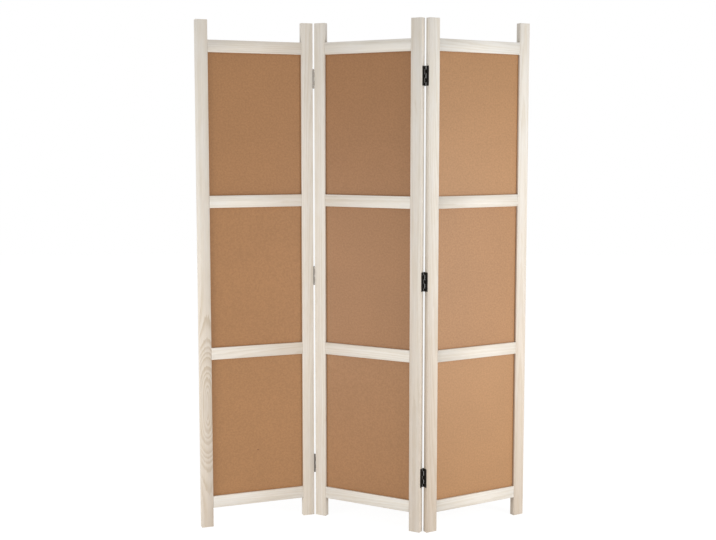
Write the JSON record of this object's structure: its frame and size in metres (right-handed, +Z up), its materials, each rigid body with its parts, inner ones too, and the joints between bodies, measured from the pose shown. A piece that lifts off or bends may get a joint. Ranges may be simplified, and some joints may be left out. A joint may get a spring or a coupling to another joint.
{
  "type": "folding room divider",
  "caption": "Free-standing folding screen: framed panels with board infills, joined edge to edge by butt hinges so that they stand in a zigzag and fold flat.",
  "frame": {"origin": "on the floor, under the middle of the footprint in the half-open standing pose", "axes": "+Z up; the front is seen along +Y, with +X to the right, so the three panels run from -X to +X in a zigzag"},
  "size_m": [1.1146, 0.2096, 1.7],
  "materials": {
    "pale_wood": "pale pine with a thin white wash, matt",
    "brown_board": "kraft-brown fibreboard, smooth and matt",
    "black_metal": "blackened steel, satin",
    "dark_steel": "dark steel pin, satin"
  },
  "bodies": {
    "middle_panel": {"middle_panel_left_post": "pale_wood", "middle_panel_right_post": "pale_wood", "middle_panel_bottom_rail": "pale_wood", "middle_panel_lower_rail": "pale_wood", "middle_panel_upper_rail": "pale_wood", "middle_panel_top_rail": "pale_wood", "middle_panel_lower_board": "brown_board", "middle_panel_middle_board": "brown_board", "middle_panel_upper_board": "brown_board", "left_joint_low_hinge_right_leaf": "black_metal", "left_joint_middle_hinge_right_leaf": "black_metal", "left_joint_top_hinge_right_leaf": "black_metal", "left_joint_low_hinge_pin": "dark_steel", "left_joint_middle_hinge_pin": "dark_steel", "left_joint_top_hinge_pin": "dark_steel", "right_joint_low_hinge_left_leaf": "black_metal", "right_joint_middle_hinge_left_leaf": "black_metal", "right_joint_top_hinge_left_leaf": "black_metal", "right_joint_low_hinge_pin": "dark_steel", "right_joint_middle_hinge_pin": "dark_steel", "right_joint_top_hinge_pin": "dark_steel"},
    "left_panel": {"left_panel_left_post": "pale_wood", "left_panel_right_post": "pale_wood", "left_panel_bottom_rail": "pale_wood", "left_panel_lower_rail": "pale_wood", "left_panel_upper_rail": "pale_wood", "left_panel_top_rail": "pale_wood", "left_panel_lower_board": "brown_board", "left_panel_middle_board": "brown_board", "left_panel_upper_board": "brown_board", "left_joint_low_hinge_left_leaf": "black_metal", "left_joint_middle_hinge_left_leaf": "black_metal", "left_joint_top_hinge_left_leaf": "black_metal"},
    "right_panel": {"right_panel_left_post": "pale_wood", "right_panel_right_post": "pale_wood", "right_panel_bottom_rail": "pale_wood", "right_panel_lower_rail": "pale_wood", "right_panel_upper_rail": "pale_wood", "right_panel_top_rail": "pale_wood", "right_panel_lower_board": "brown_board", "right_panel_middle_board": "brown_board", "right_panel_upper_board": "brown_board", "right_joint_low_hinge_right_leaf": "black_metal", "right_joint_middle_hinge_right_leaf": "black_metal", "right_joint_top_hinge_right_leaf": "black_metal"}
  },
  "joints": [
    {"name": "left_fold", "type": "hinge", "parent": "middle_panel", "child": "left_panel", "pos_m": [-0.17289, 0.08125, 0.845], "axis": [0, 0, 1], "range_deg": [-47.9, 132.1]},
    {"name": "right_fold", "type": "hinge", "parent": "middle_panel", "child": "right_panel", "pos_m": [0.1952, -0.08805, 0.845], "axis": [0, 0, 1], "range_deg": [-56.5, 123.5]}
  ]
}
